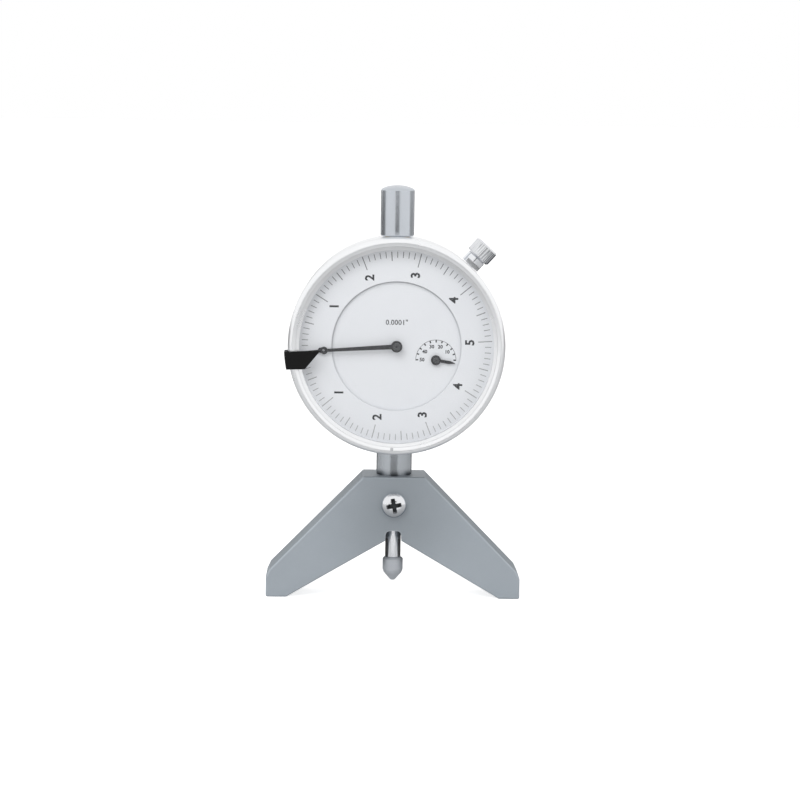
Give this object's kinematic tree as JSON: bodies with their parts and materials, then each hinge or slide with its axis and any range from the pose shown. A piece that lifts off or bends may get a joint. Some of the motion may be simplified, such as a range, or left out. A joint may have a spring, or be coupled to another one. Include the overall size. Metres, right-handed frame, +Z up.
{
  "type": "dial depth gauge",
  "caption": "Round dial indicator held by its stem in a forked steel base, with a sprung spindle, geared hands, a turning bezel and a V under the base",
  "frame": {"origin": "On the floor plane under the feet, on the axis of the spindle", "axes": "+Z up along the spindle, the dial faces -Y, +X to the right as the dial is read"},
  "size_m": [0.0684, 0.024, 0.1108],
  "materials": {
    "base_steel": "satin ground steel, bluish grey",
    "bright_steel": "fine turned satin steel",
    "plated": "satin chrome plate",
    "hard_steel": "hardened and ground steel, greyer than the rod",
    "body_metal": "satin anodised, turned",
    "small_steel": "plain bright steel",
    "spring_steel": "blued spring steel",
    "movement_brass": "satin brass",
    "jewel": "polished synthetic ruby",
    "dial_white": "matte white dial paint with black graduations",
    "hand_black": "dark blued hand",
    "marker_black": "matte black",
    "clear": "clear and polished"
  },
  "bodies": {
    "frame": {"depth_base": "base_steel", "base_clamp_screw": "plated", "stem": "bright_steel", "lower_bush": "movement_brass", "upper_bush": "movement_brass", "dust_cap": "plated", "case": "body_metal", "back_cover": "body_metal", "cover_screws": "small_steel", "bezel_retainer": "small_steel", "inner_dial": "dial_white", "front_plate": "movement_brass", "rear_plate": "movement_brass", "plate_pillars": "movement_brass", "movement_screws": "small_steel", "pivot_jewels": "jewel", "rear_cock": "movement_brass", "cock_screw": "small_steel", "guide_block": "movement_brass", "guide_screws": "small_steel", "spring_post": "bright_steel", "return_spring": "spring_steel", "hairspring": "spring_steel", "hairspring_stud": "movement_brass"},
    "spindle_group": {"spindle": "bright_steel", "contact_point": "hard_steel", "stop_collar": "bright_steel", "guide_pin": "bright_steel"},
    "bezel_group": {"bezel": "body_metal", "crystal": "clear", "crystal_ring": "plated", "dial_ring": "dial_white"},
    "marker_group": {"limit_marker": "marker_black"},
    "first_gear": {"first_arbor": "small_steel", "first_wheel": "movement_brass"},
    "counter_gear": {"counter_arbor": "small_steel", "counter_wheel": "movement_brass", "counter_hand": "hand_black"},
    "centre_gear": {"centre_arbor": "small_steel", "main_hand": "hand_black"},
    "takeup_gear": {"takeup_arbor": "small_steel", "takeup_wheel": "movement_brass", "hairspring_collet": "movement_brass"},
    "shoe_group": {"clamp_shoe": "bright_steel"},
    "knob_group": {"clamp_knob": "bright_steel"}
  },
  "joints": [
    {"name": "hand_turn", "type": "hinge", "parent": "frame", "child": "centre_gear", "pos_m": [0, 0, 0.069], "axis": [0, 1, 0], "range_deg": [0, 1984.26]},
    {"name": "spindle_travel", "type": "slide", "parent": "frame", "child": "spindle_group", "axis": [0, 0, 1], "range_m": [0, 0.0014], "stiffness_N_per_m": 30, "springref_m": -0.05, "deforming": ["return_spring"]},
    {"name": "first_turn", "type": "hinge", "parent": "frame", "child": "first_gear", "pos_m": [0.00321, 0, 0.05681], "axis": [0, 1, 0], "range_deg": [0, 49.61]},
    {"name": "counter_turn", "type": "hinge", "parent": "frame", "child": "counter_gear", "pos_m": [0.01041, 0, 0.06546], "axis": [0, 1, 0], "range_deg": [-198.43, 0]},
    {"name": "takeup_turn", "type": "hinge", "parent": "frame", "child": "takeup_gear", "pos_m": [-0.007, 0, 0.069], "axis": [0, 1, 0], "range_deg": [-330.71, 0], "deforming": ["hairspring"]},
    {"name": "bezel_turn", "type": "hinge", "parent": "frame", "child": "bezel_group", "pos_m": [0, 0, 0.069], "axis": [0, 1, 0], "continuous": true},
    {"name": "marker_turn", "type": "hinge", "parent": "bezel_group", "child": "marker_group", "pos_m": [0, 0, 0.069], "axis": [0, 1, 0], "continuous": true},
    {"name": "shoe_slide", "type": "slide", "parent": "frame", "child": "shoe_group", "axis": [-0.6756, 0, -0.7373], "range_m": [0, 0.00025]},
    {"name": "knob_turn", "type": "hinge", "parent": "shoe_group", "child": "knob_group", "pos_m": [0.02121, -0.0035, 0.09215], "axis": [-0.6756, 0, -0.7373], "range_deg": [0, 180.01]}
  ],
  "couplings": [
    {"joint": "hand_turn", "follows": "spindle_travel", "rad_per_m": 24737},
    {"joint": "first_turn", "follows": "spindle_travel", "rad_per_m": 618.42},
    {"joint": "counter_turn", "follows": "spindle_travel", "rad_per_m": -2473.7},
    {"joint": "takeup_turn", "follows": "spindle_travel", "rad_per_m": -4122.8},
    {"joint": "knob_turn", "follows": "shoe_slide", "rad_per_m": 12566}
  ]
}
